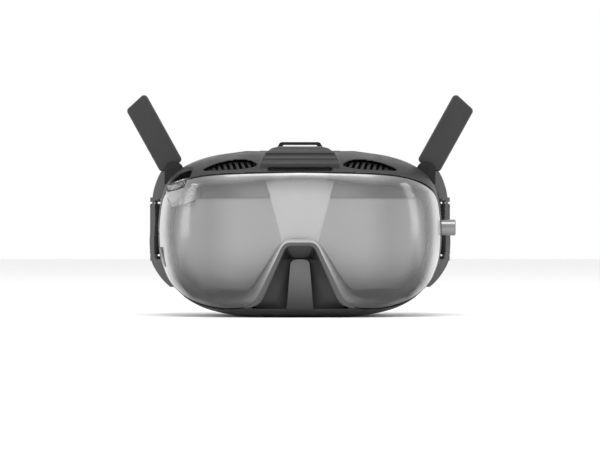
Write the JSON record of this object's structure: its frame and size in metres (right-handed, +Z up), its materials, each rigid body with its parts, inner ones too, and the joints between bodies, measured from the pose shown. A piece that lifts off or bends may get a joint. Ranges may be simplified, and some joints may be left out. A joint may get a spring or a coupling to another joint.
{
  "type": "video goggles",
  "caption": "Head-worn video goggles with a tinted wrap visor, two folding flat aerials, a thumb joystick, foam face cushion and elastic headband.",
  "frame": {"origin": "on the flat rest face under the casing, in the plane of symmetry", "axes": "+Z up, visor towards -Y, wearer's face and headband towards +Y, wearer's right hand side at -X"},
  "size_m": [0.2276, 0.2596, 0.1452],
  "materials": {
    "visor_grey": "gloss",
    "mask_grey": "satin",
    "shell_grey": "fine texture",
    "trim_grey": "satin",
    "black_plastic": "satin",
    "black_rubber": "matte",
    "aerial_grey": "fine texture",
    "yoke_grey": "satin",
    "steel": "satin",
    "aluminium": "satin",
    "board_green": "satin",
    "display_glass": "gloss",
    "lens_glass": "gloss",
    "smoked": "gloss",
    "foam": "soft",
    "webbing": "woven"
  },
  "bodies": {
    "casing": {"aerial_base_left": "black_plastic", "aerial_base_right": "black_plastic", "aerial_pin_left": "steel", "aerial_pin_right": "steel", "bottom_shell": "shell_grey", "card_slot": "steel", "display_frame": "black_plastic", "display_panel": "display_glass", "face_cushion": "foam", "face_frame": "black_plastic", "fan_housing": "black_plastic", "headband": "webbing", "heat_sink": "aluminium", "inlet_ring": "steel", "inner_mask": "mask_grey", "joystick_base": "black_plastic", "lens_barrel_left": "black_plastic", "lens_barrel_right": "black_plastic", "lens_carrier": "black_plastic", "lens_left": "lens_glass", "lens_plate": "black_plastic", "lens_right": "lens_glass", "main_board": "board_green", "nose_cover": "shell_grey", "nose_trim": "trim_grey", "plate_screws": "steel", "port_board": "board_green", "power_inlet": "aluminium", "power_light_ring": "trim_grey", "proximity_window": "smoked", "side_button_guide": "black_plastic", "top_shell": "shell_grey", "top_strap_loop": "black_plastic", "usb_c_port": "steel", "vent_grille_left": "black_plastic", "vent_grille_right": "black_plastic", "visor": "visor_grey", "visor_gasket": "black_plastic", "yoke_left": "yoke_grey", "yoke_right": "yoke_grey", "yoke_rod_left": "steel", "yoke_rod_right": "steel", "yoke_screws": "steel"},
    "aerial_left": {"aerial_knuckle_left": "black_plastic", "aerial_front_left": "aerial_grey", "aerial_back_left": "aerial_grey", "aerial_element_left": "board_green"},
    "aerial_right": {"aerial_knuckle_right": "black_plastic", "aerial_front_right": "aerial_grey", "aerial_back_right": "aerial_grey", "aerial_element_right": "board_green"},
    "joystick_ring": {"joystick_ring": "black_plastic"},
    "joystick_stem": {"joystick_stem": "black_plastic"},
    "joystick_cap": {"joystick_cap": "black_rubber"},
    "side_button": {"side_button": "trim_grey"},
    "power_button": {"power_button": "shell_grey"},
    "link_button": {"link_button": "shell_grey"},
    "port_cover": {"port_cover": "black_rubber"},
    "fan_rotor": {"fan_rotor": "black_plastic"},
    "strap_adjuster": {"strap_adjuster": "black_plastic"}
  },
  "joints": [
    {"name": "aerial_fold_left", "type": "hinge", "parent": "casing", "child": "aerial_left", "pos_m": [0.083, -0.006, 0.0955], "axis": [0, -1, 0], "range_deg": [-15, 119]},
    {"name": "aerial_fold_right", "type": "hinge", "parent": "casing", "child": "aerial_right", "pos_m": [-0.083, -0.006, 0.0955], "axis": [0, 1, 0], "range_deg": [-15, 119]},
    {"name": "joystick_fore_aft", "type": "hinge", "parent": "casing", "child": "joystick_ring", "pos_m": [-0.07595, -0.03346, 0.08005], "axis": [0.9455, 0, 0.3256], "range_deg": [-8, 8], "stiffness_Nm_per_rad": 0.03},
    {"name": "joystick_sideways", "type": "hinge", "parent": "joystick_ring", "child": "joystick_stem", "pos_m": [-0.07595, -0.03346, 0.08005], "axis": [-0.0482, 0.989, 0.14], "range_deg": [-8, 8], "stiffness_Nm_per_rad": 0.03},
    {"name": "joystick_press", "type": "slide", "parent": "joystick_stem", "child": "joystick_cap", "axis": [0.322, 0.1481, -0.9351], "range_m": [0, 0.0006], "stiffness_N_per_m": 700},
    {"name": "side_button_press", "type": "slide", "parent": "casing", "child": "side_button", "axis": [0.922, 0.2685, 0.279], "range_m": [0, 0.0008], "stiffness_N_per_m": 700},
    {"name": "power_button_press", "type": "slide", "parent": "casing", "child": "power_button", "axis": [-0.9696, 0.0305, -0.2427], "range_m": [0, 0.0008], "stiffness_N_per_m": 700},
    {"name": "link_button_press", "type": "slide", "parent": "casing", "child": "link_button", "axis": [-0.9574, 0.0298, 0.2873], "range_m": [0, 0.0006], "stiffness_N_per_m": 700},
    {"name": "port_cover_flap", "type": "hinge", "parent": "casing", "child": "port_cover", "pos_m": [-0.08895, -0.002, 0.0289], "axis": [0, -1, 0], "range_deg": [0, 100]},
    {"name": "fan_spin", "type": "hinge", "parent": "casing", "child": "fan_rotor", "pos_m": [0, 0.012, 0.0935], "axis": [0, 0, 1], "continuous": true},
    {"name": "strap_adjuster_slide", "type": "slide", "parent": "casing", "child": "strap_adjuster", "axis": [-0.1564, 0.9877, 0], "range_m": [-0.015, 0.015]}
  ]
}
